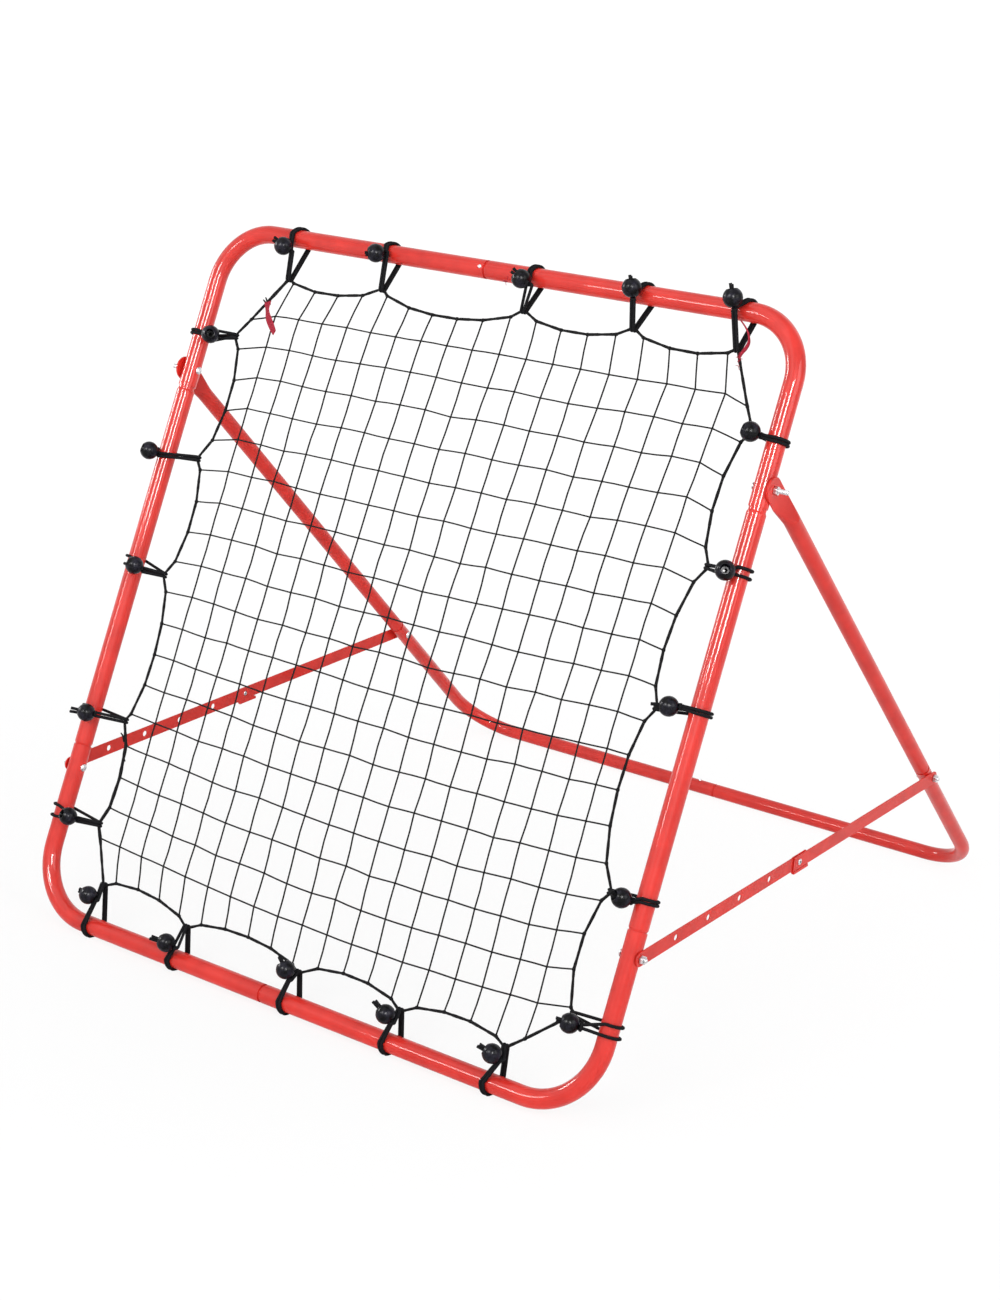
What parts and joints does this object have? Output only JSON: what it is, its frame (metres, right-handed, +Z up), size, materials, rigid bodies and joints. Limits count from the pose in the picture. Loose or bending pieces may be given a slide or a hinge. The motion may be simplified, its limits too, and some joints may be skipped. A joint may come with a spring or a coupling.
{
  "type": "pitch back rebounder",
  "caption": "Square net held by ball toggles in a leaning tube frame, on a hinged rear stand with two adjustable flat-bar struts.",
  "frame": {"origin": "on the floor, in the middle of the width, under the centre line of the front frame's bottom bar", "axes": "+X right across the width seen from the front, +Y to the back, +Z up"},
  "size_m": [1.0126, 1.1346, 0.9772],
  "materials": {
    "red_coat": "gloss powder coat",
    "zinc_plate": "zinc plated",
    "net_string": "twisted twine",
    "border_rope": "braided rope",
    "ball_plastic": "gloss",
    "elastic_cord": "woven sleeve",
    "marker_red": "woven ribbon"
  },
  "bodies": {
    "front_frame": {"top_left_corner_tube": "red_coat", "top_right_corner_tube": "red_coat", "left_side_tube": "red_coat", "right_side_tube": "red_coat", "bottom_left_corner_tube": "red_coat", "bottom_right_corner_tube": "red_coat", "top_joint_screw": "zinc_plate", "bottom_joint_screw": "zinc_plate", "hinge_bolts": "zinc_plate", "hinge_nuts": "zinc_plate", "strut_front_bolts": "zinc_plate", "strut_front_nuts": "zinc_plate", "net_mesh": "net_string", "net_border_rope": "border_rope", "top_toggle_balls": "ball_plastic", "right_toggle_balls": "ball_plastic", "bottom_toggle_balls": "ball_plastic", "left_toggle_balls": "ball_plastic", "top_bungee_loops": "elastic_cord", "right_bungee_loops": "elastic_cord", "bottom_bungee_loops": "elastic_cord", "left_bungee_loops": "elastic_cord", "marker_ribbon": "marker_red", "marker_thread": "marker_red"},
    "stand": {"left_leg_tube": "red_coat", "right_leg_tube": "red_coat", "stand_left_corner_tube": "red_coat", "stand_right_corner_tube": "red_coat", "stand_joint_screw": "zinc_plate", "strut_rear_bolts": "zinc_plate", "strut_rear_nuts": "zinc_plate"},
    "left_front_bar": {"left_strut_front_bar": "red_coat"},
    "right_front_bar": {"right_strut_front_bar": "red_coat"},
    "left_rear_bar": {"left_strut_rear_bar": "red_coat", "left_lock_pin": "zinc_plate"},
    "right_rear_bar": {"right_strut_rear_bar": "red_coat", "right_lock_pin": "zinc_plate"}
  },
  "joints": [
    {"name": "stand_fold", "type": "hinge", "parent": "front_frame", "child": "stand", "pos_m": [0, 0.30423, 0.74818], "axis": [1, 0, 0], "range_deg": [-30.67, 0]},
    {"name": "left_front_bar_swing", "type": "hinge", "parent": "front_frame", "child": "left_front_bar", "pos_m": [-0.48, 0.07845, 0.20309], "axis": [1, 0, 0], "range_deg": [-24.96, 0]},
    {"name": "left_rear_bar_swing", "type": "hinge", "parent": "stand", "child": "left_rear_bar", "pos_m": [-0.496, 0.86292, 0.2256], "axis": [1, 0, 0], "range_deg": [0, 5.75]},
    {"name": "right_front_bar_swing", "type": "hinge", "parent": "front_frame", "child": "right_front_bar", "pos_m": [0.48, 0.07845, 0.20309], "axis": [1, 0, 0], "range_deg": [-24.96, 0]},
    {"name": "right_rear_bar_swing", "type": "hinge", "parent": "stand", "child": "right_rear_bar", "pos_m": [0.496, 0.86292, 0.2256], "axis": [1, 0, 0], "range_deg": [0, 5.75]}
  ],
  "couplings": [
    {"joint": "left_front_bar_swing", "follows": "stand_fold", "ratio": 0.8132},
    {"joint": "left_rear_bar_swing", "follows": "stand_fold", "ratio": -0.1868},
    {"joint": "right_front_bar_swing", "follows": "stand_fold", "ratio": 0.8132},
    {"joint": "right_rear_bar_swing", "follows": "stand_fold", "ratio": -0.1868}
  ]
}
